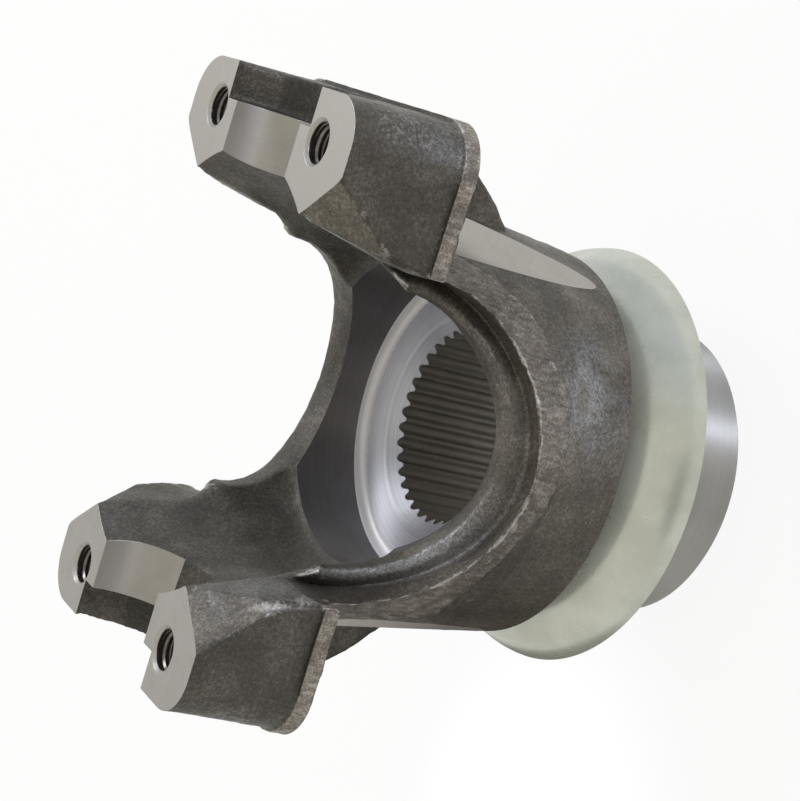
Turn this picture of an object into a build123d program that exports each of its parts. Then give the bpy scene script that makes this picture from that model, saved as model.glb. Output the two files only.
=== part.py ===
# Forged end yoke for a pinion shaft, with a pressed-on dust slinger.
# Frame: origin at the centre of the hub's end face, Z up the spline axis towards the ears,
# X along the bearing caps from ear to ear. The yoke stands on its hub end.
import os
from math import radians, sqrt, tan

from build123d import *

# Ears, as forged, with their machined faces
ear_face_height = 114.2
near_ear_half_width = 37.4
far_ear_half_width = 36.4
ear_outer_x = 59.2
ear_corner_radius = 9.0
ear_draft = 2.0
ear_inner_x = 36.0
parting_height = 88.6

# Corner cut on each boss: wide at the face, then a narrow edge break down to the parting line
facet_width_x = 8.6
facet_width_y = 12.1
facet_foot_height = 102.0
edge_break = 1.6

# Bolt holes for the bearing straps, tapped through to a spot-faced seat
bolt_spacing_x = 98.9
bolt_spacing_y = 47.6
tap_radius = 3.45
hole_chamfer_radius = 4.6
spot_face_radius = 13.1

# Bearing cap saddles, and the forged channels outboard of them
cap_radius = 15.09
saddle_outer_x = 51.6
channel_radius = 19.5
relief_half_width = 6.6
relief_depth = 2.2

# Barrel and the webs that carry the ears
barrel_rear_height = 38.1
barrel_rear_radius = 41.4
barrel_draft = 6.0
web_root_x = 43.0
web_root_height = 61.1
web_belly_x = 48.4
web_belly_height = 66.1
web_tip_x = 52.6
web_tip_height = 72.1
web_half_width = 10.6

# Windows between the ears: the smooth throat and the ledge outside it
throat_height = 88.1
throat_half_width = 27.5
throat_drop = 23.3
knee_height = 94.6
knee_x = 31.6
ledge_half_width = 32.0
ledge_drop = 28.3
lip_radius = 40.2
near_lip_round = 1.5
near_lip_slope = 2.2
far_lip_round = 0.5
far_lip_slope = 0.6
lip_slope_run = 3.6

# Trimmed flash land along the parting line
flash_half_width = 38.0
flash_drop = 34.2
flash_shoulder_x = 27.7
flash_shoulder_height = 62.2
flash_proud = 0.8
flash_thickness = 3.3

# Inner void: cup bore above the nut face, opening into the forged cavity
crown_above_cup_floor = 10.1
cup_radius = 32.4
cup_corner = 2.2
cavity_floor_above_crown = 6.9
cavity_wall_height = 88.1
cavity_wall_radius = 37.4
cavity_mouth_radius = 44.0

# Hub and spline
hub_radius = 31.75
hub_chamfer = 1.5
slinger_seat_radius = 32.25
slinger_seat_height = 27.6
spline_teeth = 37
spline_root_radius = 21.03
spline_tip_radius = 20.1
spline_shoulder_radius = 20.75
spline_root_half_width = 0.8
spline_tip_half_width = 1.35
spline_lead_in = 1.8

# Dust slinger, a plated stamping pressed on the hub
slinger_thickness = 1.5
slinger_radius = 45.6
slinger_rim_height = 22.1
slinger_top_height = 34.1
slinger_dome_radius = 14.0
slinger_collar_height = 5.5

# Values worked out from those above
over = 10.0
barrel_top_radius = barrel_rear_radius + (parting_height - barrel_rear_height) * tan(radians(barrel_draft))
bolt_x = bolt_spacing_x / 2
bolt_y = bolt_spacing_y / 2
reach = 2 * ear_outer_x
crown_height = throat_height - throat_drop
cup_floor_height = crown_height - crown_above_cup_floor
cavity_floor_height = crown_height + cavity_floor_above_crown
corner_inset = cup_corner * (1 - sqrt(0.5))
spline_mouth_radius = spline_root_radius + spline_lead_in
groove_foot_radius = spline_tip_radius - spline_lead_in / 6
lead_in_depth = spline_mouth_radius - groove_foot_radius
flank_slope = (spline_tip_half_width - spline_root_half_width) / (spline_shoulder_radius - spline_tip_radius)
groove_foot_half_width = spline_tip_half_width + (spline_tip_radius - groove_foot_radius) * flank_slope
ear_width = near_ear_half_width + far_ear_half_width
ear_middle_y = (far_ear_half_width - near_ear_half_width) / 2


def window_outline(half_width, drop, top_points):
    """Half ellipse hanging from the throat height, opening upwards through the points given."""
    right = [(half_width, throat_height)] + top_points
    left = [(-x, z) for x, z in reversed(right)]
    with BuildSketch(Plane.XZ) as outline:
        with Locations((0, throat_height)):
            Ellipse(half_width, drop)
        with BuildLine():
            Polyline(*right, *left, close=True)
        make_face()
    return outline.sketch


# Throat and mouth of the window, cut right through both sides
mouth_x = ear_inner_x + over * (ear_inner_x - knee_x) / (ear_face_height - knee_height)
with BuildPart() as window:
    extrude(
        window_outline(
            throat_half_width,
            throat_drop,
            [(knee_x, knee_height), (mouth_x, ear_face_height + over)],
        ),
        amount=reach,
        both=True,
    )

# Ledge between the throat's lip and the flash land
with BuildPart() as ledge:
    extrude(
        window_outline(ledge_half_width, ledge_drop, [(knee_x, knee_height)]),
        amount=reach,
        both=True,
    )
    with BuildSketch(Plane.XY):
        Circle(lip_radius)
    extrude(amount=ear_face_height + over, mode=Mode.SUBTRACT)

# Flash land on the barrel, between the outlines of the ledge and of the trimmed edge
with BuildPart() as flash:
    with BuildSketch(Plane.XZ):
        with BuildLine():
            Polyline(
                (lip_radius, barrel_rear_height),
                (barrel_rear_radius + flash_proud, barrel_rear_height),
                (barrel_top_radius + flash_proud, parting_height),
                (lip_radius, parting_height),
                close=True,
            )
        make_face()
    revolve(axis=Axis.Z)
    with BuildSketch(Plane.XZ):
        with BuildLine():
            edge = Spline(
                (flash_half_width, throat_height),
                (flash_shoulder_x, flash_shoulder_height),
                (0, throat_height - flash_drop),
                (-flash_shoulder_x, flash_shoulder_height),
                (-flash_half_width, throat_height),
                tangents=((-0.15, -1), (-0.15, 1)),
            )
            Polyline(
                edge @ 1,
                (-flash_half_width, throat_height + over),
                (flash_half_width, throat_height + over),
                edge @ 0,
            )
        make_face()
    extrude(amount=reach, both=True, mode=Mode.INTERSECT)

# One groove of the spline, with a round bottom
with BuildSketch(Plane.XY) as groove:
    with BuildLine():
        Polyline(
            (spline_shoulder_radius, -spline_root_half_width),
            (groove_foot_radius, -groove_foot_half_width),
            (groove_foot_radius, groove_foot_half_width),
            (spline_shoulder_radius, spline_root_half_width),
        )
        ThreePointArc(
            (spline_shoulder_radius, spline_root_half_width),
            (spline_root_radius, 0),
            (spline_shoulder_radius, -spline_root_half_width),
        )
    make_face()


def lip_edge(body, radius, side):
    """The edge of one window's lip, on this side of Y, whose lowest point lies at this radius."""
    low = body.edges().filter_by_position(Axis.X, -0.5, 0.5)
    low = low.filter_by_position(Axis.Z, crown_height - 0.5, crown_height + 0.5)
    return low.filter_by(lambda edge: abs(side * edge.center().Y - radius) < 1)


def corner_cut(height, width_x, width_y, half_width, side):
    """Outline that cuts a boss's inner corner at this height: a flat, rounded into both faces."""
    x = knee_x + (height - knee_height) * (ear_inner_x - knee_x) / (ear_face_height - knee_height)
    y = half_width + (ear_face_height - height) * tan(radians(ear_draft))
    with BuildSketch(Plane.XY.offset(height)) as outline:
        with BuildLine():
            edge = Spline(
                (x - 0.06 * width_x, side * (y - 1.2 * width_y)),
                (x + 0.2 * width_x, side * (y - 0.8 * width_y)),
                (x + 0.8 * width_x, side * (y - 0.2 * width_y)),
                (x + 1.35 * width_x, side * (y + 0.06 * width_y)),
                tangents=((0.1, side), (1, 0.1 * side)),
            )
            Polyline(
                edge @ 1,
                (x - 0.06 * width_x, side * (y + 0.06 * width_y)),
                edge @ 0,
            )
        make_face()
    return outline.sketch


# The corner cuts of the two near bosses, then of the two far ones
with BuildPart() as near_facets:
    add(corner_cut(ear_face_height, facet_width_x, facet_width_y, near_ear_half_width, -1))
    add(corner_cut(facet_foot_height, edge_break, edge_break, near_ear_half_width, -1))
    add(corner_cut(parting_height, edge_break, edge_break, near_ear_half_width, -1))
    loft(ruled=True)
    mirror(about=Plane.YZ)

with BuildPart() as far_facets:
    add(corner_cut(ear_face_height, facet_width_x, facet_width_y, far_ear_half_width, 1))
    add(corner_cut(facet_foot_height, edge_break, edge_break, far_ear_half_width, 1))
    add(corner_cut(parting_height, edge_break, edge_break, far_ear_half_width, 1))
    loft(ruled=True)
    mirror(about=Plane.YZ)

with BuildPart() as yoke:
    # Hub and barrel, turned and forged about the same axis
    with BuildSketch(Plane.XZ):
        with BuildLine():
            Polyline(
                (0, 0),
                (hub_radius - hub_chamfer, 0),
                (hub_radius, hub_chamfer),
                (hub_radius, slinger_seat_height),
                (slinger_seat_radius, slinger_seat_height),
                (slinger_seat_radius, barrel_rear_height),
                (barrel_rear_radius, barrel_rear_height),
                (barrel_top_radius, parting_height),
                (0, parting_height),
                close=True,
            )
        make_face()
    revolve(axis=Axis.Z)

    # Ears above the parting line, drafted outwards down to it
    with BuildSketch(Plane.XY.offset(ear_face_height)):
        with Locations((0, ear_middle_y)):
            RectangleRounded(2 * ear_outer_x, ear_width, ear_corner_radius)
    extrude(amount=parting_height - ear_face_height, taper=-ear_draft)
    ear_growth = (ear_face_height - parting_height) * tan(radians(ear_draft)) + flash_proud
    with BuildSketch(Plane.XY.offset(parting_height)):
        with Locations((0, ear_middle_y)):
            RectangleRounded(
                2 * (ear_outer_x + ear_growth),
                ear_width + 2 * ear_growth,
                ear_corner_radius + ear_growth,
            )
    extrude(amount=flash_thickness)

    # Webs under the ears, running down into the barrel
    with BuildSketch(Plane.XZ):
        with BuildLine():
            belly = ThreePointArc(
                (web_root_x, web_root_height),
                (web_belly_x, web_belly_height),
                (web_tip_x, web_tip_height),
            )
            Polyline(
                belly @ 1,
                (ear_outer_x, parting_height),
                (0, parting_height),
                (0, web_root_height),
                belly @ 0,
            )
        make_face()
        mirror(about=Plane.YZ)
    extrude(amount=web_half_width, both=True)

    # Openings
    add(flash.part)
    add(window.part, mode=Mode.SUBTRACT)
    add(ledge.part, mode=Mode.SUBTRACT)
    with BuildSketch(Plane.XZ):
        with BuildLine():
            Polyline(
                (0, ear_face_height + over),
                (0, cup_floor_height),
                (cup_radius - cup_corner, cup_floor_height),
            )
            ThreePointArc(
                (cup_radius - cup_corner, cup_floor_height),
                (cup_radius - corner_inset, cup_floor_height + corner_inset),
                (cup_radius, cup_floor_height + cup_corner),
            )
            Line((cup_radius, cup_floor_height + cup_corner), (cup_radius, cavity_floor_height))
            Spline(
                (cup_radius, cavity_floor_height),
                (cavity_wall_radius, cavity_wall_height),
                tangents=((1, 0.5), (0.25, 1)),
            )
            Polyline(
                (cavity_wall_radius, cavity_wall_height),
                (cavity_mouth_radius, ear_face_height),
                (cavity_mouth_radius, ear_face_height + over),
                (0, ear_face_height + over),
            )
        make_face()
    revolve(axis=Axis.Z, mode=Mode.SUBTRACT)

    # Lip of each window: sloped down to the bore, rounded over towards the ledge
    fillet(lip_edge(yoke, lip_radius, -1), radius=near_lip_round)
    fillet(lip_edge(yoke, lip_radius, 1), radius=far_lip_round)
    chamfer(lip_edge(yoke, cup_radius, -1), length=near_lip_slope, length2=lip_slope_run)
    chamfer(lip_edge(yoke, cup_radius, 1), length=far_lip_slope, length2=lip_slope_run)

    # Channels, saddles and the relief along each saddle's bottom
    for side in (-1, 1):
        with BuildSketch(Plane.YZ.offset(side * saddle_outer_x)):
            with Locations((0, ear_face_height)):
                Circle(channel_radius)
        extrude(amount=side * reach, mode=Mode.SUBTRACT)
    with BuildSketch(Plane.YZ):
        with Locations((0, ear_face_height)):
            Circle(cap_radius)
    extrude(amount=saddle_outer_x, both=True, mode=Mode.SUBTRACT)
    relief_drop = sqrt(cap_radius**2 - relief_half_width**2)
    relief_radius = (relief_half_width**2 + (cap_radius + relief_depth - relief_drop) ** 2) / (
        2 * (cap_radius + relief_depth - relief_drop)
    )
    with BuildSketch(Plane.YZ):
        with Locations((0, ear_face_height - cap_radius - relief_depth + relief_radius)):
            Circle(relief_radius)
    extrude(amount=saddle_outer_x, both=True, mode=Mode.SUBTRACT)

    add(near_facets.part, mode=Mode.SUBTRACT)
    add(far_facets.part, mode=Mode.SUBTRACT)

    # Strap bolt holes, tapped through each boss to a seat milled from the hub side
    with BuildSketch(Plane.XY.offset(parting_height)):
        with GridLocations(bolt_spacing_x, bolt_spacing_y, 2, 2):
            Circle(spot_face_radius)
    extrude(amount=barrel_rear_height - parting_height, mode=Mode.SUBTRACT)
    with Locations(Plane.XY.offset(ear_face_height)):
        with GridLocations(bolt_spacing_x, bolt_spacing_y, 2, 2):
            CounterSinkHole(tap_radius, hole_chamfer_radius, counter_sink_angle=90)

    # Spline through the hub, with a lead-in at each end
    with BuildSketch(Plane.XY):
        Circle(spline_tip_radius)
        with PolarLocations(0, spline_teeth):
            add(groove.sketch)
    extrude(amount=cup_floor_height, mode=Mode.SUBTRACT)
    with BuildSketch(Plane.XZ):
        with BuildLine():
            Polyline(
                (0, cup_floor_height),
                (spline_mouth_radius, cup_floor_height),
                (groove_foot_radius, cup_floor_height - lead_in_depth),
                (0, cup_floor_height - lead_in_depth),
                close=True,
            )
        make_face()
        with BuildLine():
            Polyline(
                (0, 0),
                (spline_mouth_radius, 0),
                (groove_foot_radius, lead_in_depth),
                (0, lead_in_depth),
                close=True,
            )
        make_face()
    revolve(axis=Axis.Z, mode=Mode.SUBTRACT)

# The slinger: a quarter-round dome over the seal, turned down into a collar on the hub
with BuildPart() as slinger:
    with BuildSketch(Plane.XZ):
        with Locations((slinger_radius - slinger_dome_radius, slinger_top_height - slinger_dome_radius)):
            Circle(slinger_dome_radius)
        with Locations((0, slinger_rim_height)):
            Rectangle(reach, slinger_dome_radius, align=(Align.MIN, Align.MIN), mode=Mode.INTERSECT)
        with Locations((slinger_radius - slinger_dome_radius, slinger_top_height - slinger_dome_radius)):
            Circle(slinger_dome_radius - slinger_thickness, mode=Mode.SUBTRACT)
        with Locations((slinger_seat_radius, slinger_top_height - slinger_thickness)):
            Rectangle(
                slinger_thickness,
                slinger_collar_height - slinger_thickness,
                align=(Align.MIN, Align.MAX),
            )
        with Locations((slinger_seat_radius, slinger_rim_height)):
            Rectangle(reach, slinger_dome_radius, align=(Align.MIN, Align.MIN), mode=Mode.INTERSECT)
    revolve(axis=Axis.Z)

yoke.part.label = "yoke_forging"
slinger.part.label = "dust_slinger"
os.makedirs("parts", exist_ok=True)
export_step(yoke.part, "parts/yoke_forging.step")
export_step(slinger.part, "parts/dust_slinger.step")
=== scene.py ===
import math

import bpy
import numpy as np
from mathutils import Matrix, Vector


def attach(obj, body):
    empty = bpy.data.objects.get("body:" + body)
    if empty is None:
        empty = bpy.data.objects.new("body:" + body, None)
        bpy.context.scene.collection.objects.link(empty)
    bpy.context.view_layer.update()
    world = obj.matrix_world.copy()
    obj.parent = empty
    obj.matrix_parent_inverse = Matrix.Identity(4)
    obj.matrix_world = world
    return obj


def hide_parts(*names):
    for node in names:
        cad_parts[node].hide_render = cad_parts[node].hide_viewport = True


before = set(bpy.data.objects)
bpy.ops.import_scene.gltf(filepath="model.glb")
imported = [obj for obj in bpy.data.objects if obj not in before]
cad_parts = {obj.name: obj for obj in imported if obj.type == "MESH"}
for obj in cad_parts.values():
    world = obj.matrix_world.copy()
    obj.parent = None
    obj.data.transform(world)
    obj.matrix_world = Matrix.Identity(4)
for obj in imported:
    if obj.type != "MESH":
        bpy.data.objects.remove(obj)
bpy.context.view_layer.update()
mm = 0.001  # in metres
faceHeight = 114.2  # height of the ear faces and of the cap axis, in mm


# Camera, lamps and floor

camera = {
    "place": (0.058933, -0.343887, 0.273495),
    "right": (0.29822157, -0.4538201, -0.83970901),
    "up": (0.94394606, 0.27066563, 0.18896019),
    "back": (0.14152644, -0.84899201, 0.50910002),
    "lens": 88.154,  # mm on a 36 mm sensor
    "shift": (0.00479, 0.00616),
}

cameraData = bpy.data.cameras.new("photoCamera")
cameraData.sensor_width = 36
cameraData.lens = camera["lens"]
cameraData.shift_x, cameraData.shift_y = camera["shift"]
cameraData.clip_start = 0.01
cameraData.clip_end = 50
cameraObject = bpy.data.objects.new("photoCamera", cameraData)
axes = Matrix((camera["right"], camera["up"], camera["back"])).transposed()
cameraObject.matrix_world = Matrix.Translation(camera["place"]) @ axes.to_4x4()
bpy.context.scene.collection.objects.link(cameraObject)
bpy.context.scene.camera = cameraObject
bpy.context.scene.view_settings.view_transform = "Standard"


def linear(code):
    # Turns an sRGB hex colour into a linear RGBA
    parts = [int(code[i:i + 2], 16) / 255 for i in (1, 3, 5)]
    return [c / 12.92 if c <= 0.04045 else ((c + 0.055) / 1.055) ** 2.4 for c in parts] + [1.0]


def addNode(tree, kind, inputs=None, stops=None, **settings):
    # Adds a node; inputs gives each socket a value or the output that it takes,
    # and stops gives a colour ramp its places and hex colours
    made = tree.nodes.new(kind)
    for name, value in settings.items():
        setattr(made, name, value)
    for name, value in (inputs or {}).items():
        if isinstance(value, bpy.types.NodeSocket):
            tree.links.new(value, made.inputs[name])
        else:
            made.inputs[name].default_value = value
    if stops:
        while len(made.color_ramp.elements) < len(stops):
            made.color_ramp.elements.new(0.5)
        for element, (place, code) in zip(made.color_ramp.elements, stops):
            element.position = place
            element.color = linear(code)
    return made


# Soft boxes: the direction in which each stands from the object, and its size and distance in metres
softBoxes = {
    "low": {
        "towards": (0.73, -0.66, 0.18), "away": 1.0, "size": (0.2, 0.35), "watts": 3.4,
        "colour": "#E9EEFF"},
    "edge": {
        "towards": (0.93, 0.22, 0.2), "away": 1.0, "size": (0.2, 0.35), "watts": 1.6,
        "colour": "#F2F5FF"},
    "rear": {
        "towards": (0.35, 0.53, 0.77), "away": 1.1, "size": (0.4, 0.4), "watts": 3.2,
        "colour": "#FFFFFF"},
}

middle = Vector((0.0, 0.0, 0.055))
for name, box in softBoxes.items():
    lamp = bpy.data.lights.new(name + "Box", "AREA")
    lamp.shape = "RECTANGLE"
    lamp.size, lamp.size_y = box["size"]
    lamp.energy = box["watts"]
    lamp.color = linear(box["colour"])[:3]
    lampObject = bpy.data.objects.new(name + "Box", lamp)
    towards = Vector(box["towards"]).normalized()
    turn = (-towards).to_track_quat("-Z", "Y").to_matrix().to_4x4()
    lampObject.matrix_world = Matrix.Translation(middle + towards * box["away"]) @ turn
    bpy.context.scene.collection.objects.link(lampObject)

world = bpy.data.worlds.new("paleStudio")
bpy.context.scene.world = world
world.use_nodes = True
tree = world.node_tree
tree.nodes.clear()
paths = addNode(tree, "ShaderNodeLightPath")
# Pale panels round the object: each is full within the first angle and gone by the second
panels = [
    {"towards": (0.85, 0.1, 0.5), "full": 55, "gone": 85, "colour": "#C4C9CE"},
    {"towards": (-0.717, -0.603, 0.35), "full": 84, "gone": 95, "colour": "#E0DDD3"},
    {"towards": (-0.14, 0.85, 0.51), "full": 28, "gone": 60, "colour": "#DDDCDA"},
    {"towards": (-0.03, -1.0, -0.02), "full": 12, "gone": 28, "colour": "#4C4A48"},
]
towards = addNode(tree, "ShaderNodeTexCoord").outputs["Generated"]
glow = addNode(tree, "ShaderNodeRGB").outputs[0]
glow.default_value = linear("#A3A19D")
for panel in panels:
    near = addNode(tree, "ShaderNodeVectorMath", {
        0: towards, 1: Vector(panel["towards"]).normalized()}, operation="DOT_PRODUCT")
    full, gone = (math.cos(math.radians(panel[key])) for key in ("full", "gone"))
    part = addNode(tree, "ShaderNodeMapRange", {
        0: near.outputs["Value"], 1: gone, 2: full}, interpolation_type="SMOOTHSTEP")
    glow = addNode(tree, "ShaderNodeMix", {
        0: part.outputs[0], 6: glow, 7: linear(panel["colour"])}, data_type="RGBA").outputs[2]
plain = addNode(tree, "ShaderNodeBackground", {"Color": glow, "Strength": 1.0})
shown = addNode(tree, "ShaderNodeBackground", {"Color": linear("#FFFFFF"), "Strength": 1.0})
pick = addNode(tree, "ShaderNodeMixShader", {
    0: paths.outputs["Is Camera Ray"], 1: plain.outputs[0], 2: shown.outputs[0]})
addNode(tree, "ShaderNodeOutputWorld", {"Surface": pick.outputs[0]})

# The floor is pale, but reflections and bounced light meet a dark round patch on it, which stands
# for the dark surroundings that the object's lower surfaces mirror. The camera sees it as white.
floor = {
    "half": 6.0, "drop": 0.00005, "glow": 0.9, "mirrored": 0.15, "colour": "#F4F4F2",
    "patch": (-0.09, 0.0, 0.0), "patchFull": 0.035, "patchGone": 0.07, "patchColour": "#55524E",
}
mesh = bpy.data.meshes.new("floor")
half, under = floor["half"], -floor["drop"]
mesh.from_pydata(
    [(-half, -half, under), (half, -half, under), (half, half, under), (-half, half, under)],
    [], [(0, 1, 2, 3)])
floorObject = bpy.data.objects.new("floor", mesh)
bpy.context.scene.collection.objects.link(floorObject)
paper = bpy.data.materials.new("whitePaper")
paper.use_nodes = True
tree = paper.node_tree
tree.nodes.clear()
paths = addNode(tree, "ShaderNodeLightPath")
seen = addNode(tree, "ShaderNodeMath", {
    0: paths.outputs["Is Camera Ray"], 1: paths.outputs["Is Transmission Ray"]}, operation="MAXIMUM")
where = addNode(tree, "ShaderNodeTexCoord").outputs["Object"]
away = addNode(tree, "ShaderNodeVectorMath", {0: where, 1: floor["patch"]}, operation="DISTANCE")
dark = addNode(tree, "ShaderNodeMapRange", {
    0: away.outputs["Value"], 1: floor["patchFull"], 2: floor["patchGone"], 3: 1.0, 4: 0.0},
    interpolation_type="SMOOTHSTEP")
lift = addNode(tree, "ShaderNodeMapRange", {0: dark.outputs[0], 3: floor["glow"], 4: 1.0})
dull = addNode(tree, "ShaderNodeMapRange", {0: dark.outputs[0], 3: floor["mirrored"], 4: 0.0})
seen = addNode(tree, "ShaderNodeMath", {0: seen.outputs[0], 1: lift.outputs[0]}, operation="MULTIPLY")
mirrored = addNode(tree, "ShaderNodeMath", {
    0: paths.outputs["Is Glossy Ray"], 1: dull.outputs[0]}, operation="MULTIPLY")
share = addNode(tree, "ShaderNodeMath", {
    0: seen.outputs[0], 1: mirrored.outputs[0]}, operation="MAXIMUM")
card = addNode(tree, "ShaderNodeMix", {
    0: dark.outputs[0], 6: linear(floor["colour"]), 7: linear(floor["patchColour"])}, data_type="RGBA")
matt = addNode(tree, "ShaderNodeBsdfDiffuse", {"Color": card.outputs[2]})
glow = addNode(tree, "ShaderNodeEmission", {"Color": linear("#FFFFFF"), "Strength": 1.0})
mix = addNode(tree, "ShaderNodeMixShader", {
    0: share.outputs[0], 1: matt.outputs[0], 2: glow.outputs[0]})
addNode(tree, "ShaderNodeOutputMaterial", {"Surface": mix.outputs[0]})
mesh.materials.append(paper)
print("camera, lamps and floor done")


# Materials. Coordinates are in millimetres, so a pattern's scale is one over its size.
# Sockets 1 and 2 of a Map Range are the values read, 3 and 4 those given back. Socket 0 of a Mix is
# its share, and the pair 2 and 3 or 6 and 7 is what it mixes.

def startMaterial(name):
    # A new material with its node tree, its shader and object coordinates in millimetres
    made = bpy.data.materials.new(name)
    made.use_nodes = True
    tree = made.node_tree
    tree.nodes.clear()
    shader = addNode(tree, "ShaderNodeBsdfPrincipled")
    addNode(tree, "ShaderNodeOutputMaterial", {"Surface": shader.outputs[0]})
    where = addNode(tree, "ShaderNodeTexCoord").outputs["Object"]
    scaled = addNode(tree, "ShaderNodeMapping", {"Vector": where, "Scale": (1 / mm, 1 / mm, 1 / mm)})
    return made, tree, shader, scaled.outputs[0]


def forgedSteel(name, look):
    made, tree, shader, place = startMaterial(name)
    blotch = addNode(tree, "ShaderNodeTexNoise", {
        "Vector": place, "Scale": 1 / look["blotch"], "Detail": 3.0, "Roughness": 0.5})
    stretched = addNode(tree, "ShaderNodeVectorMath", {
        0: place, 1: look["stretch"]}, operation="MULTIPLY")
    pits = addNode(tree, "ShaderNodeTexNoise", {
        "Vector": stretched.outputs[0], "Scale": 1 / look["pit"], "Detail": 3.0, "Roughness": 0.6})
    grain = addNode(tree, "ShaderNodeTexNoise", {
        "Vector": place, "Scale": 1 / look["grain"], "Detail": 2.0, "Roughness": 0.6})
    fineMix = addNode(tree, "ShaderNodeMix", {
        0: 0.5, 2: grain.outputs[0], 3: pits.outputs[0]}, data_type="FLOAT")
    both = addNode(tree, "ShaderNodeMix", {
        0: 0.3, 2: fineMix.outputs[0], 3: blotch.outputs[0]}, data_type="FLOAT")
    skin = addNode(
        tree, "ShaderNodeValToRGB", {0: both.outputs[0]},
        stops=[(0.36, look["dark"]), (0.5, look["mid"]), (0.64, look["light"])]).outputs[0]
    # This attribute scales the skin's colour: painted light and shade, and the lighter tone of the trimmed
    # flash
    toneAndPaintedLight = addNode(tree, "ShaderNodeAttribute", attribute_name="toneAndPaintedLight").outputs["Fac"]
    shaded = addNode(tree, "ShaderNodeVectorMath", {0: skin, "Scale": toneAndPaintedLight}, operation="SCALE")
    # Rubbed wear and painted highlights and sheen, mixed in as pale bluish flecks
    rubAndHighlight = addNode(tree, "ShaderNodeAttribute", attribute_name="rubAndHighlight").outputs["Fac"]
    flecks = addNode(tree, "ShaderNodeMapRange", {
        0: fineMix.outputs[0], 1: 0.4, 2: 0.62, 3: 0.15, 4: 1.0})
    rubbedAndHighlit = addNode(tree, "ShaderNodeMath", {0: rubAndHighlight, 1: flecks.outputs[0]}, operation="MULTIPLY")
    sheen = addNode(tree, "ShaderNodeMix", {
        0: rubbedAndHighlit.outputs[0], 6: shaded.outputs[0], 7: linear(look["rubbedAndHighlit"])}, data_type="RGBA")
    wear = addNode(tree, "ShaderNodeAttribute", attribute_name="wear").outputs["Fac"]
    broken = addNode(tree, "ShaderNodeMath", {0: wear, 1: pits.outputs[0]}, operation="MULTIPLY")
    worn = addNode(tree, "ShaderNodeMapRange", {0: broken.outputs[0], 1: 0.2, 2: 0.5, 3: 0.0, 4: 1.0})
    colour = addNode(tree, "ShaderNodeMix", {
        0: worn.outputs[0], 6: sheen.outputs[2], 7: linear(look["worn"])}, data_type="RGBA")
    tree.links.new(colour.outputs[2], shader.inputs["Base Color"])
    bare = addNode(tree, "ShaderNodeMath", {
        0: worn.outputs[0], 1: rubbedAndHighlit.outputs[0]}, operation="MAXIMUM")
    metal = addNode(tree, "ShaderNodeMapRange", {
        0: bare.outputs[0], 1: 0.0, 2: 1.0, 3: look["metal"], 4: 0.85})
    tree.links.new(metal.outputs[0], shader.inputs["Metallic"])
    rough = addNode(tree, "ShaderNodeMapRange", {
        0: both.outputs[0], 1: 0.38, 2: 0.62, 3: look["rough"] + 0.1, 4: look["rough"] - 0.08})
    tree.links.new(rough.outputs[0], shader.inputs["Roughness"])
    coarse = addNode(tree, "ShaderNodeBump", {
        "Height": pits.outputs[0], "Strength": look["bump"], "Distance": 0.25 * mm})
    fine = addNode(tree, "ShaderNodeBump", {
        "Height": grain.outputs[0], "Strength": look["bump"], "Distance": 0.14 * mm,
        "Normal": coarse.outputs[0]})
    tree.links.new(fine.outputs[0], shader.inputs["Normal"])
    return made


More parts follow.
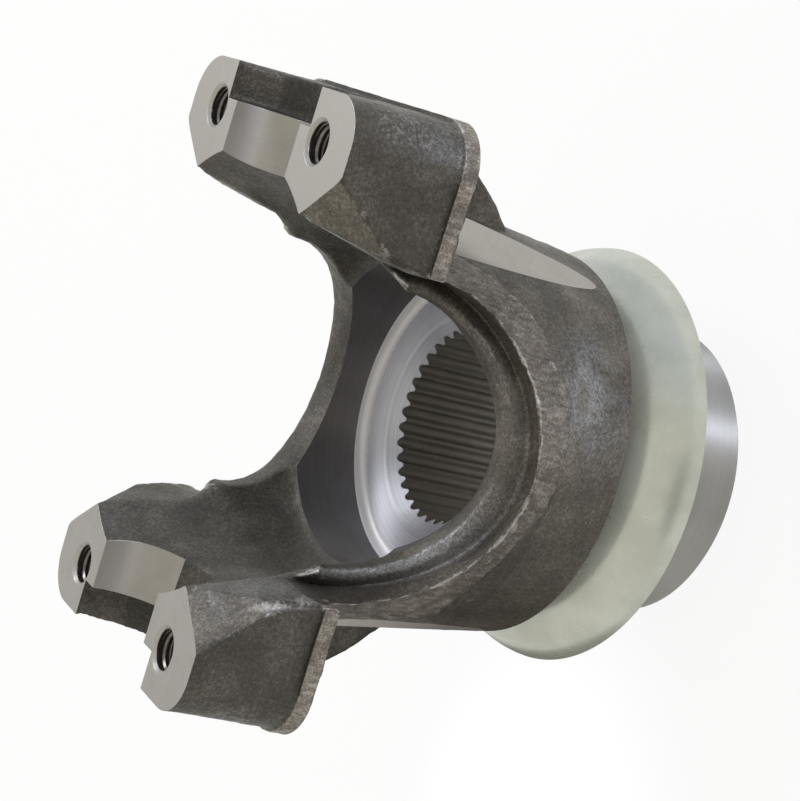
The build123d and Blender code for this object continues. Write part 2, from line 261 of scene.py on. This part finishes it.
def cutSteel(name, pattern, look):
    # Machined steel with tool marks; pattern gives the coordinates along which the marks change
    made, tree, shader, place = startMaterial(name)
    parts = addNode(tree, "ShaderNodeSeparateXYZ", {0: place})
    x, y, z = parts.outputs
    if pattern == "turned":  # rings round the spline axis
        flat = addNode(tree, "ShaderNodeCombineXYZ", {0: x, 1: y, 2: 0.0})
        radius = addNode(tree, "ShaderNodeVectorMath", {0: flat.outputs[0]}, operation="LENGTH")
        along = addNode(tree, "ShaderNodeCombineXYZ", {0: radius.outputs["Value"], 1: 0.0, 2: z})
    elif pattern == "bored":  # rings round the cap axis
        along = addNode(tree, "ShaderNodeCombineXYZ", {0: x, 1: 0.0, 2: 0.0})
    elif pattern == "broached":  # lines along the grooves
        along = addNode(tree, "ShaderNodeCombineXYZ", {0: x, 1: y, 2: 0.0})
    else:  # milled: long arcs of the cutter's path
        along = addNode(tree, "ShaderNodeVectorMath", {
            0: place, 1: look["centre"]}, operation="DISTANCE")
        along = addNode(tree, "ShaderNodeCombineXYZ", {0: along.outputs["Value"], 1: 0.0, 2: 0.0})
    marks = addNode(tree, "ShaderNodeTexNoise", {
        "Vector": along.outputs[0], "Scale": 1 / look["mark"], "Detail": 3.0, "Roughness": 0.65})
    cloud = addNode(tree, "ShaderNodeTexNoise", {
        "Vector": place, "Scale": 1 / look["cloud"], "Detail": 4.0, "Roughness": 0.55})
    both = addNode(tree, "ShaderNodeMix", {
        0: look["cloudShare"], 2: marks.outputs[0], 3: cloud.outputs[0]}, data_type="FLOAT")
    colour = addNode(
        tree, "ShaderNodeValToRGB", {0: both.outputs[0]},
        stops=[(0.34, look["dark"]), (0.66, look["light"])]).outputs[0]
    tree.links.new(colour, shader.inputs["Base Color"])
    shader.inputs["Metallic"].default_value = look.get("metallic", 1.0)
    rough = addNode(tree, "ShaderNodeMapRange", {
        0: both.outputs[0], 1: 0.35, 2: 0.65, 3: look["rough"] + 0.05, 4: look["rough"] - 0.05})
    tree.links.new(rough.outputs[0], shader.inputs["Roughness"])
    if look.get("spread"):  # fine rings spread a highlight across themselves
        shader.inputs["Anisotropic"].default_value = look["spread"]
        shader.inputs["Anisotropic Rotation"].default_value = 0.25
        minus = addNode(tree, "ShaderNodeMath", {0: y, 1: -1.0}, operation="MULTIPLY")
        if pattern == "turned":
            ring = addNode(tree, "ShaderNodeCombineXYZ", {0: minus.outputs[0], 1: x, 2: 0.0})
        else:
            rise = addNode(tree, "ShaderNodeMath", {0: z, 1: faceHeight}, operation="SUBTRACT")
            ring = addNode(tree, "ShaderNodeCombineXYZ", {
                0: 0.0, 1: rise.outputs[0], 2: minus.outputs[0]})
        tree.links.new(ring.outputs[0], shader.inputs["Tangent"])
    edge = addNode(tree, "ShaderNodeBevel", {"Radius": 0.3 * mm}, samples=4)
    bump = addNode(tree, "ShaderNodeBump", {
        "Height": marks.outputs[0], "Strength": look["bump"], "Distance": 0.05 * mm,
        "Normal": edge.outputs[0]})
    tree.links.new(bump.outputs[0], shader.inputs["Normal"])
    return made


# Milled faces of the ears and the seats: light warm grey, almost matt
milledSteel = cutSteel("milledSteel", "milled", {
    "dark": "#B0ACA7", "light": "#BAB7B2", "mark": 0.35, "cloud": 6.0, "cloudShare": 0.5,
    "rough": 0.42, "bump": 0.12, "centre": (0.0, 60.0, 100.0)})
# Bored cap saddles: rings round the cap axis spread a soft gradient along it
boredSteel = cutSteel("boredSteel", "bored", {
    "dark": "#A39F9A", "light": "#AFABA6", "mark": 0.45, "cloud": 9.0, "cloudShare": 0.6,
    "rough": 0.4, "bump": 0.05, "spread": 0.8})
# Turned hub and nut face: fine rings that stretch a highlight along the axis
turnedSteel = cutSteel("turnedSteel", "turned", {
    "dark": "#C0BFBE", "light": "#CDCCCC", "mark": 0.4, "cloud": 14.0, "cloudShare": 0.5,
    "rough": 0.46, "bump": 0.05, "spread": 0.9})
# Corner between cup wall and floor, the fillet left by the tool's nose. It is drawn mostly as a pale, half matt
# surface, a painted highlight, because this soft room gives it nothing bright to mirror.
cornerSteelPaintedHighlight = cutSteel("cornerSteelPaintedHighlight", "turned", {
    "dark": "#E6E5E9", "light": "#F2F1F5", "mark": 0.5, "cloud": 14.0, "cloudShare": 0.5,
    "rough": 0.36, "bump": 0.03, "metallic": 0.25})
# Faced cup floor: finer rings than on the hub, and a cooler, brighter grey
facedSteel = cutSteel("facedSteel", "turned", {
    "dark": "#C2C3CB", "light": "#DADBE4", "mark": 0.45, "cloud": 14.0, "cloudShare": 0.3,
    "rough": 0.5, "bump": 0.05, "spread": 0.9})
# Cup wall: turned and dull, in a darker grey than the hub as painted shade inside the cup
cupSteel = cutSteel("cupSteelPaintedShade", "turned", {
    "dark": "#7A7777", "light": "#868383", "mark": 0.7, "cloud": 14.0, "cloudShare": 0.6,
    "rough": 0.42, "bump": 0.04, "spread": 0.9})
# Broached spline: flanks with fine lines along the grooves
broachedSteel = cutSteel("broachedSteel", "broached", {
    "dark": "#B3B0AA", "light": "#CFCCC6", "mark": 0.3, "cloud": 6.0, "cloudShare": 0.4,
    "rough": 0.36, "bump": 0.15})
# Thread: dark cutting oil in the roots
tappedSteel = cutSteel("tappedSteel", "bored", {
    "dark": "#6B6763", "light": "#938E89", "mark": 0.4, "cloud": 1.5, "cloudShare": 0.7,
    "rough": 0.32, "bump": 0.1})
# Hot forged, shot blasted and oiled low-alloy steel: dark brown-grey oxide, finely pitted, bright
# where it is worn
# Its rubbed colour also serves as painted highlights and sheen
skinSteel = forgedSteel("forgedSteelSkin", {
    "dark": "#332F2A", "mid": "#46423C", "light": "#676159", "worn": "#B4AFAB", "rubbedAndHighlit": "#A2A5AD",
    "blotch": 9.0, "pit": 0.8, "grain": 0.34, "stretch": (1, 1, 1),
    "metal": 0.25, "rough": 0.42, "bump": 0.55})
# Trimmed flash: torn across its thickness by the trimming die, lighter and streaked
flashSteel = forgedSteel("trimmedFlashSteel", {
    "dark": "#3E3A35", "mid": "#5E5852", "light": "#88827B", "worn": "#C2BDB8", "rubbedAndHighlit": "#A2A5AD",
    "blotch": 6.0, "pit": 0.8, "grain": 0.45, "stretch": (1, 1, 0.3),
    "metal": 0.4, "rough": 0.42, "bump": 0.8})


def zincPlate():
    # Bright zinc on pressed sheet: pale greenish grey, glossy, with a faint cloudy bloom
    look = {
        "dark": "#CCCFC7", "light": "#DCDFD9", "tint": "#D4D8CF", "cloud": 11.0, "ripple": 5.0,
        "metallic": 0.5, "roughest": 0.31, "smoothest": 0.24}
    made, tree, shader, place = startMaterial("zincPlatedSheet")
    cloud = addNode(tree, "ShaderNodeTexNoise", {
        "Vector": place, "Scale": 1 / look["cloud"], "Detail": 4.0, "Roughness": 0.55})
    colour = addNode(
        tree, "ShaderNodeValToRGB", {0: cloud.outputs[0]},
        stops=[(0.36, look["dark"]), (0.52, look["tint"]), (0.66, look["light"])]).outputs[0]
    tree.links.new(colour, shader.inputs["Base Color"])
    shader.inputs["Metallic"].default_value = look["metallic"]  # the passivated film scatters the rest
    rough = addNode(tree, "ShaderNodeMapRange", {
        0: cloud.outputs[0], 1: 0.3, 2: 0.7, 3: look["roughest"], 4: look["smoothest"]})
    tree.links.new(rough.outputs[0], shader.inputs["Roughness"])
    ripple = addNode(tree, "ShaderNodeTexNoise", {
        "Vector": place, "Scale": 1 / look["ripple"], "Detail": 2.0})
    bump = addNode(tree, "ShaderNodeBump", {
        "Height": ripple.outputs[0], "Strength": 0.06, "Distance": 0.3 * mm})
    tree.links.new(bump.outputs[0], shader.inputs["Normal"])
    return made


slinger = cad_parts["dust_slinger"]
slinger.data.materials.clear()
slinger.data.materials.append(zincPlate())
print("materials done")


# The forging: a copy of its CAD mesh, merged, with its forged skin divided finely and roughened.
# Everything here is in millimetres until the mesh is made.

touch = 0.1  # a triangle within this of a machined face lies on it

forging = {
    "skinEdge": 1.8,  # longest edge on the forged skin
    "lipEdge": 1.1,  # round the window's lips
    "flashEdge": 0.7,  # and on the trimmed flash
    "rounding": 2,  # passes that soften the forged edges
    # Wear: an edge this far above its neighbours is worn bright, and calm places keep a share of it
    "crestFull": 0.13,
    "calmShare": 0.3,
    "calmRadius": 41.6,
    # Height, size and seed of each layer of the skin's unevenness
    "uneven": [(0.16, 7.0, 1), (0.09, 2.6, 2), (0.05, 1.3, 3)],
    "tornHeight": 0.14,
    "tornStretch": [1, 1, 0.3],
    # Nicks in the near lip, rubbed places with painted highlights, and patches of painted light and shade:
    # centre, radius and amount
    "dents": [(-21.3, -29.3, 73.4, 0.9, 0.5), (-25.5, -29.0, 78.0, 0.7, 0.3)],
    "rubsAndHighlights": [
        (16.6, -39.1, 48.7, 5.5, 0.9), (23.7, -35.4, 49.4, 4.0, 0.5), (9.7, -41.0, 45.2, 3.5, 0.5),
        (-37.3, -31.7, 110.4, 3.0, 0.3), (-32.5, -28.1, 98.7, 4.5, 0.25), (-34.0, -29.5, 105.3, 3.5, 0.2),
        (57.1, -34.9, 100.8, 4.0, 0.25), (55.3, -36.6, 94.6, 3.0, 0.3)],
    "paintedLightSpots": [
        (-28.5, -27.0, 87.5, 4.0, -0.35), (-30.8, -30.2, 54.6, 8.0, -0.15), (3.3, -44.0, 56.9, 12.0, 0.1),
        (-25.0, -34.0, 70.0, 6.0, 0.7), (12.0, -41.0, 47.0, 9.0, 0.25), (8.3, -39.1, 65.1, 9.0, 0.5),
        (57.0, -34.0, 103.0, 6.0, -0.12)],
    # Painted light on the corner facets of the bosses, which face up and outwards
    "cornerPaintedLight": 2.0,  # on the trimmed corners of the bosses
    "cornerFacing": 0.67,  # how far these face along x, give or take the next value
    "cornerSpread": 0.08,
    "cornerRise": 0.45,  # and at least how far up
    # The lip is lightened as painted light, and its crown gets a painted highlight
    "lipPaintedLight": 1.3,
    "lipRadii": (38.3, 41.3, 43),  # of the lip's inside, of its crown and of its foot
    "lipHighlightAngle": -120,  # the crown carries a painted highlight round this direction, in degrees
    "lipHighlightSpread": 15,
    "bandShade": 1.9,
    # Painted shade darkens the recess walls between the bosses
    "recessPaintedShade": 0.62,
    "recessHalf": 17,  # half the width of the recess between the bosses
    "recessRadius": 50,
    "recessHeight": 91,
    # Bright broken lines: the edges of the trimmed flash and of the near boss, as paths of points
    "chippedLines": [[
        (-36.9, -30.5, 111.2), (-36.6, -33.0, 109.0), (-35.8, -35.2, 106.0), (-34.6, -36.6, 103.0),
        (-33.5, -37.1, 98.8), (-32.6, -36.8, 95.0), (-31.8, -34.0, 89.5)]],
    "wornLines": [
        [(36.6, -24.0, 77.7), (35.6, -29.2, 76.0), (33.9, -30.8, 72.6), (32.5, -31.9, 69.7),
            (30.7, -33.1, 65.8), (26.3, -36.1, 61.8), (21.5, -38.9, 59.4), (16.4, -41.1, 57.6),
            (11.1, -42.7, 56.1), (3.7, -43.7, 54.6), (-2.5, -43.4, 53.8), (-11.4, -41.6, 54.4),
            (-23.3, -36.5, 56.6), (-30.1, -31.6, 59.5)],
        [(29.5, -33.6, 76.5), (25.3, -37.4, 70.8), (21.7, -39.6, 67.3), (16.6, -41.8, 63.9),
            (9.5, -43.8, 61.1), (2.4, -44.6, 59.9), (-5.2, -44.3, 59.8), (-13.0, -42.6, 60.5),
            (-22.0, -39.0, 64.0)]],
    "partingHeight": 88.6,
    "bandRise": 3.35,  # thickness of the flash round the ears
    "bandDepth": 35,  # it is seen beyond this along y
    "bandWidth": 58.5,  # or beyond this along x
    "bolt": (49.45, 23.8),
    "tapRadius": 3.45,
    "tapReach": 3.6,
    "chamferReach": 4.7,
    "threadRadius": 3.97,
    "cutterRadius": 13.1,
    "cutterReach": 13.2,
    "capRadius": 15.09,
    "saddleEnd": 51.7,
    "cupFloor": 54.7,
    "cupReach": 32.5,
    "cupTop": 71.8,
    "cornerReach": 33,
    "cornerTop": 2.1,  # above the cup's floor
    "floorReach": 30.3,
    "splineReach": 22.9,
    "leadFoot": 50,  # the spline's lead-in lies above this
    "hubReach": 42,
    "barrelFoot": 38.1,
    "barrelRadius": 41.4,
    "barrelSlope": math.tan(math.radians(6)),
    "limit": (60.85, 44.45, faceHeight),  # how far the roughened skin may reach
}

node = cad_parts["yoke_forging"]
data = node.data
count = len(data.vertices)
raw = np.zeros(count * 3, np.float32)
data.vertices.foreach_get("co", raw)
raw = raw.reshape(-1, 3).astype(float) / mm
corners = np.zeros(len(data.loops), np.int32)
data.loops.foreach_get("vertex_index", corners)
turned = np.zeros(len(data.loops) * 3, np.float32)
data.corner_normals.foreach_get("vector", turned)
points, merged = np.unique(np.round(raw, 4), axis=0, return_inverse=True)
triangles = merged.reshape(-1)[corners].reshape(-1, 3)
normals = turned.reshape(-1, 3, 3).astype(float)
whole = (triangles != np.roll(triangles, -1, axis=1)).all(axis=1)  # no two corners merged into one
triangles, normals = triangles[whole], normals[whole]


def boltDistance(p):
    # Distance of each point from the nearest bolt axis
    return np.hypot(np.abs(p[:, 0]) - forging["bolt"][0], np.abs(p[:, 1]) - forging["bolt"][1])


def barrelRadius(z):
    # Radius of the forged barrel's cone at this height
    return forging["barrelRadius"] + (z - forging["barrelFoot"]) * forging["barrelSlope"]


finishes = ["skin", "flash", "milled", "bored", "turned", "faced", "corner", "cup", "broached", "tapped"]
finishMaterials = [
    skinSteel, flashSteel, milledSteel, boredSteel, turnedSteel, facedSteel, cornerSteelPaintedHighlight, cupSteel,
    broachedSteel, tappedSteel]


def sortFinishes(points, triangles, normals):
    # Gives each triangle the number of its finish, from where it lies and where it faces
    centre = points[triangles].mean(axis=1)
    facing = normals.mean(axis=1)
    radius = np.hypot(centre[:, 0], centre[:, 1])
    across, deep, z = np.abs(centre[:, 0]), np.abs(centre[:, 1]), centre[:, 2]
    up = facing[:, 2]
    bolt = boltDistance(centre)
    cap = np.hypot(centre[:, 1], z - faceHeight)
    parting, cupFloor = forging["partingHeight"], forging["cupFloor"]
    inSpline = (radius < forging["splineReach"]) & (z < cupFloor - 0.02)
    finish = np.zeros(len(centre), int)
    proud = (z < parting - 0.05) & (radius > barrelRadius(z) + touch)
    band = (z > parting - 0.05) & (z < parting + forging["bandRise"])
    rules = [
        ("flash", proud & (deep > forging["recessHalf"])),
        ("flash", band & (np.abs(up) < 0.5)
            & ((deep > forging["bandDepth"]) | (across > forging["bandWidth"]))),
        ("milled", (bolt < forging["cutterReach"]) & (z < parting + touch)
            & ((np.abs(bolt - forging["cutterRadius"]) < touch) | (up < -0.9))),
        ("turned", (radius < forging["hubReach"]) & (z < forging["barrelFoot"] + touch)),
        ("bored", (cap < forging["capRadius"] + touch) & (across < forging["saddleEnd"])),
        ("milled", (up > 0.99) & (z > faceHeight - touch)),
        ("cup", (radius < forging["cupReach"]) & (z > cupFloor - touch) & (z < forging["cupTop"])),
        ("corner", (radius < forging["cornerReach"]) & (z > cupFloor - touch)
            & (z < cupFloor + forging["cornerTop"])),
        ("faced", (radius < forging["floorReach"]) & (np.abs(z - cupFloor) < touch)),
        ("broached", inSpline & (z > 0.02)),
        ("faced", inSpline & (z > forging["leadFoot"]) & (up > 0.5)),
        ("tapped", bolt < forging["tapReach"]),
        ("milled", (bolt > forging["tapReach"]) & (bolt < forging["chamferReach"])),
    ]
    for name, rule in rules:
        finish[rule] = finishes.index(name)
    return finish


def longestEdge(p):
    # Longest edge allowed at each point: finer round the trimmed flash
    radius = np.hypot(p[:, 0], p[:, 1])
    deep, z = np.abs(p[:, 1]), p[:, 2]
    low = (z < forging["partingHeight"]) & (deep > forging["recessHalf"])
    onBarrel = low & (radius > barrelRadius(z) + 0.05)
    onEar = (np.abs(z - forging["partingHeight"] - 1.6) < 2.4) & (deep > 28)
    onLip = low & (radius < forging["lipRadii"][2])
    fine = np.where(onLip, forging["lipEdge"], forging["skinEdge"])
    return np.where(onBarrel | onEar, forging["flashEdge"], fine)


# New triangles for each set of cut edges; 0 to 2 are corners, 3 to 5 the middles of edges 01, 12 and 20
cuts = {
    0: [(0, 1, 2)],
    1: [(0, 3, 2), (3, 1, 2)],
    2: [(0, 1, 4), (0, 4, 2)],
    4: [(0, 1, 5), (5, 1, 2)],
    3: [(3, 1, 4), (0, 3, 4), (0, 4, 2)],
    6: [(4, 2, 5), (0, 1, 4), (0, 4, 5)],
    5: [(0, 3, 5), (3, 1, 2), (3, 2, 5)],
    7: [(0, 3, 5), (3, 1, 4), (5, 4, 2), (3, 4, 5)],
}


def divideSkin(points, triangles, normals, finish):
    # Halves every edge of the forged skin that is too long, until none is, and carries the normals along
    for _ in range(12):
        pairs = np.sort(triangles[:, [[0, 1], [1, 2], [2, 0]]].reshape(-1, 2), axis=1)
        edges, which = np.unique(pairs, axis=0, return_inverse=True)
        which = which.reshape(-1)
        ends = points[edges]
        half = ends.mean(axis=1)
        onSkin = np.bincount(which, weights=np.repeat(finish < 2, 3), minlength=len(edges)) > 0
        cut = onSkin & (np.linalg.norm(ends[:, 0] - ends[:, 1], axis=1) > longestEdge(half))
        if not cut.any():
            break
        number = np.full(len(edges), -1)
        number[cut] = len(points) + np.arange(cut.sum())
        points = np.vstack([points, half[cut]])
        middles = number[which].reshape(-1, 3)
        six = np.hstack([triangles, middles])
        between = normals + normals[:, [1, 2, 0]]
        between /= np.maximum(np.linalg.norm(between, axis=2, keepdims=True), 1e-9)
        sixNormals = np.concatenate([normals, between], axis=1)
        code = (middles >= 0) @ np.array([1, 2, 4])
        newTriangles, newNormals, newFinish = [], [], []
        for value, rows in cuts.items():
            chosen = code == value
            for row in rows:
                newTriangles.append(six[chosen][:, row])
                newNormals.append(sixNormals[chosen][:, row])
                newFinish.append(finish[chosen])
        triangles = np.concatenate(newTriangles)
        normals = np.concatenate(newNormals)
        finish = np.concatenate(newFinish)
    return points, triangles, normals, finish


def valueNoise(p, size, seed):
    # Smooth noise from -1 to 1: random values on a lattice of this size in mm, eased between neighbours
    lattice = np.random.default_rng(seed).uniform(-1, 1, (32, 32, 32))
    cell = p / size
    low = np.floor(cell).astype(int)
    t = cell - low
    t = t * t * (3 - 2 * t)
    total = np.zeros(len(p))
    for corner in np.ndindex(2, 2, 2):
        weight = np.prod(np.where(corner, t, 1 - t), axis=1)
        i, j, k = ((low + corner) % 32).T
        total += weight * lattice[i, j, k]
    return total


finish = sortFinishes(points, triangles, normals)
points, triangles, normals, finish = divideSkin(points, triangles, normals, finish)
print("forging divided:", len(points), "points,", len(triangles), "triangles")

isSkin = finish < 2
free = np.ones(len(points), bool)
free[triangles[~isSkin].reshape(-1)] = False
pairs = np.unique(np.sort(triangles[:, [[0, 1], [1, 2], [2, 0]]].reshape(-1, 2), axis=1), axis=0)
first, second = pairs.T
neighbours = np.bincount(pairs.reshape(-1), minlength=len(points))


def neighbourMean(values):
    # Mean of the neighbours' values at each point
    total = np.zeros_like(values)
    for axis in range(values.shape[1]):
        total[:, axis] = np.bincount(first, weights=values[second, axis], minlength=len(values))
        total[:, axis] += np.bincount(second, weights=values[first, axis], minlength=len(values))
    return total / neighbours[:, None]


def pointNormals(points, chosen):
    # Normals at the points, from the chosen triangles only, weighted by their area
    a, b, c = (points[triangles[chosen][:, i]] for i in range(3))
    face = np.cross(b - a, c - a)
    total = np.zeros_like(points)
    for i in range(3):
        for axis in range(3):
            total[:, axis] += np.bincount(triangles[chosen][:, i], weights=face[:, axis], minlength=len(points))
    return total / np.maximum(np.linalg.norm(total, axis=1, keepdims=True), 1e-12)


for _ in range(forging["rounding"]):
    points = np.where(free[:, None], points * 0.5 + neighbourMean(points) * 0.5, points)

outward = pointNormals(points, isSkin)
crest = -np.sum((neighbourMean(points) - points) * outward, axis=1)  # how far a point stands proud
wear = np.clip(crest / forging["crestFull"], 0, 1) * free
for _ in range(2):
    wear = 0.4 * wear + 0.6 * neighbourMean(wear[:, None])[:, 0]
radius = np.hypot(points[:, 0], points[:, 1])
across, deep, height = np.abs(points[:, 0]), np.abs(points[:, 1]), points[:, 2]
inRecess = deep < forging["recessHalf"]
calm = (radius < forging["calmRadius"]) & (height < forging["partingHeight"])  # the lips are rolled smooth
calm |= inRecess  # and so are the recess between the bosses and the rib under it
wear = np.clip(wear * 1.6, 0, 1) * np.where(calm, forging["calmShare"], 1.0)
# hardly any round the recess or on the lip's pointed ends
wear *= np.where((deep < 26) & (height > 82) | inRecess, forging["calmShare"], 1.0)


def worn(p, paths, size):
    # How near each point is to the nearest path, from 1 on it down to 0 beyond this size in mm
    away = np.full(len(p), 1e9)
    for path in paths:
        for start, end in zip(np.array(path[:-1]), np.array(path[1:])):
            step = end - start
            t = np.clip((p - start) @ step / (step @ step), 0, 1)
            away = np.minimum(away, np.linalg.norm(p - start - t[:, None] * step, axis=1))
    return np.exp(-away ** 2 / (2 * size ** 2))


def spots(p, rows):
    # Sum of soft spots: each row is a centre in mm, a radius and an amount
    total = np.zeros(len(p))
    for x, y, z, size, amount in rows:
        away = np.sum((p - [x, y, z]) ** 2, axis=1)
        total += amount * np.exp(-away / (2 * size ** 2))
    return total


onFlash = np.zeros(len(points), bool)
onFlash[triangles[finish == 1].reshape(-1)] = True
uneven = sum(rise * valueNoise(points, size, seed) for rise, size, seed in forging["uneven"])
wander = np.stack([valueNoise(points, 2.2, seed) for seed in (11, 12, 13)], axis=1)
lines = worn(points + 0.8 * wander, forging["wornLines"], 0.42)
lines = lines * np.clip(0.65 + 0.9 * valueNoise(points, 2.4, 14), 0, 1)
chipped = worn(points + 0.6 * wander, forging["chippedLines"], 0.6)
chipped = chipped * np.clip(0.75 + 0.9 * valueNoise(points, 1.5, 15), 0, 1)
wear = np.clip(np.maximum(np.maximum(wear, 0.62 * lines), chipped), 0, 1)
torn = forging["tornHeight"] * valueNoise(points * forging["tornStretch"], 0.9, 4)
torn = torn + forging["tornHeight"] * valueNoise(points, 3.0, 5)
chips = np.clip(valueNoise(points, 1.7, 7) - 0.1, 0, 1) * wear * 0.7
dents = spots(points, forging["dents"])
push = (np.where(onFlash, torn - 0.1, uneven) - chips - dents + 0.35 * lines) * free
# Rubbed places, which also carry painted highlights and sheen
rubAndHighlight = np.clip(spots(points, forging["rubsAndHighlights"]), 0, 1)
rubAndHighlight = rubAndHighlight * np.clip(0.95 + 0.9 * valueNoise(points, 3.2, 16), 0, 1)
# Painted light and shade over the skin, as spots and by where it lies and faces
toneAndPaintedLight = np.clip(1 + spots(points, forging["paintedLightSpots"]), 0.4, 2.5)
high = height > forging["partingHeight"] - 0.2
# Boss corners that face up and outwards are lightened: painted light
facesOut = np.abs(np.abs(outward[:, 0]) - forging["cornerFacing"]) < forging["cornerSpread"]
beside = deep > forging["recessHalf"]
corner = facesOut & (outward[:, 2] > forging["cornerRise"]) & beside & high  # trimmed corners of the bosses
toneAndPaintedLight = np.where(corner, toneAndPaintedLight * forging["cornerPaintedLight"], toneAndPaintedLight)
toneAndPaintedLight = np.where(onFlash & high, toneAndPaintedLight * forging["bandShade"], toneAndPaintedLight)
# Painted shade on the recess walls between the bosses
recessWall = inRecess & (height > forging["recessHeight"]) & (across > forging["recessRadius"])
toneAndPaintedLight = np.where(recessWall, toneAndPaintedLight * forging["recessPaintedShade"], toneAndPaintedLight)
# The lip is lightened as painted light, and its crown gets a painted highlight
lipInside, lipCrown, lipFoot = forging["lipRadii"]
lip = (radius > lipInside) & (radius < lipFoot) & ~high & beside
toneAndPaintedLight = np.where(lip, toneAndPaintedLight * forging["lipPaintedLight"], toneAndPaintedLight)
angle = np.degrees(np.arctan2(points[:, 1], points[:, 0]))
lipHighlight = 0.8 * np.exp(-((angle - forging["lipHighlightAngle"]) / forging["lipHighlightSpread"]) ** 2)
rubAndHighlight = np.where(lip & (radius < lipCrown), np.maximum(rubAndHighlight, lipHighlight), rubAndHighlight)
points = points + outward * push[:, None] + 0.3 * wander * (onFlash & free & ~high)[:, None]
limit = np.array(forging["limit"])
points = np.clip(points, -limit, limit)

# Tapped holes: the wall moves out to the thread's root, and a helical ridge fills it
bolt = boltDistance(points)
wall = bolt < forging["tapRadius"] + touch
axisX = np.sign(points[:, 0]) * forging["bolt"][0]
axisY = np.sign(points[:, 1]) * forging["bolt"][1]
grow = forging["threadRadius"] / forging["tapRadius"]
step = forging["threadRadius"] - forging["tapRadius"]
points[wall, 0] = axisX[wall] + (points[wall, 0] - axisX[wall]) * grow
points[wall, 1] = axisY[wall] + (points[wall, 1] - axisY[wall]) * grow
atChamfer = wall & (points[:, 2] > faceHeight - 3)
points[atChamfer, 2] += step

smooth = pointNormals(points, isSkin)
normals[isSkin] = smooth[triangles[isSkin]]


def makeMesh(name, points, faces, materials, number=None, cornerNormals=None):
    # A mesh object from points in millimetres
    mesh = bpy.data.meshes.new(name)
    mesh.from_pydata((points * mm).tolist(), [], faces.tolist())
    for material in materials:
        mesh.materials.append(material)
    if number is not None:
        mesh.polygons.foreach_set("material_index", number.astype(np.int32))
    mesh.shade_smooth()
    mesh.update()
    if cornerNormals is not None:
        mesh.normals_split_custom_set(cornerNormals.reshape(-1, 3).tolist())
    made = bpy.data.objects.new(name, mesh)
    bpy.context.scene.collection.objects.link(made)
    return made


yoke = makeMesh("forgedYoke", points, triangles, finishMaterials, finish, normals)
for name, values in (("wear", wear), ("rubAndHighlight", rubAndHighlight), ("toneAndPaintedLight", toneAndPaintedLight)):
    layer = yoke.data.attributes.new(name, "FLOAT", "POINT")
    layer.data.foreach_set("value", values.astype(np.float32))
lit = bpy.data.collections.new("forgingLight")  # the two narrow boxes light the forging alone
lit.objects.link(yoke)
for name in ("low", "edge"):
    bpy.data.objects[name + "Box"].light_linking.receiver_collection = lit
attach(yoke, "root")
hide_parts("yoke_forging")
print("forging done:", len(triangles), "triangles")


# Threads of the four strap bolt holes: a ridge carried along a helix, 24 threads to 25.4 mm

thread = {
    "pitch": 25.4 / 24, "foot": 88.75, "top": 113.4, "perTurn": 28, "root": 4.05, "crest": 3.47,
    "footHalf": 0.5, "crestHalf": 0.08,
    "runOut": 0.6,  # turns over which the ridge fades at each end
    "sharpAngle": 30,
}
turns = (thread["top"] - thread["foot"] - 2 * thread["footHalf"]) / thread["pitch"]
steps = int(turns * thread["perTurn"])
turn = np.linspace(0, turns, steps + 1)[:, None]
fade = np.clip(np.minimum(turn, turns - turn) / thread["runOut"], 0.02, 1)
profileRadius = np.array([[thread["root"], thread["crest"], thread["crest"], thread["root"]]])
profileRise = np.array([[-thread["footHalf"], -thread["crestHalf"], thread["crestHalf"], thread["footHalf"]]])
radius = thread["root"] - (thread["root"] - profileRadius) * fade
rise = thread["foot"] + thread["footHalf"] + turn * thread["pitch"] + profileRise * fade
angle = 2 * math.pi * turn
for number, (sideX, sideY) in enumerate([(1, 1), (1, -1), (-1, 1), (-1, -1)], 1):
    ridge = np.stack([
        sideX * forging["bolt"][0] + radius * np.cos(angle),
        sideY * forging["bolt"][1] + radius * np.sin(angle),
        rise * np.ones_like(radius)], axis=2)
    row, column = np.meshgrid(np.arange(steps), np.arange(4), indexing="ij")  # four points to a ring
    a = row * 4 + column
    b = row * 4 + (column + 1) % 4
    faces = np.stack([a, b, b + 4, a + 4], axis=2).reshape(-1, 4)
    ends = np.array([[3, 2, 1, 0], [steps * 4, steps * 4 + 1, steps * 4 + 2, steps * 4 + 3]])
    faces = np.vstack([faces, ends])
    piece = makeMesh("thread_%d" % number, ridge.reshape(-1, 3), faces, [tappedSteel])
    piece.data.set_sharp_from_angle(angle=math.radians(thread["sharpAngle"]))
    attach(piece, "root")
print("threads done")
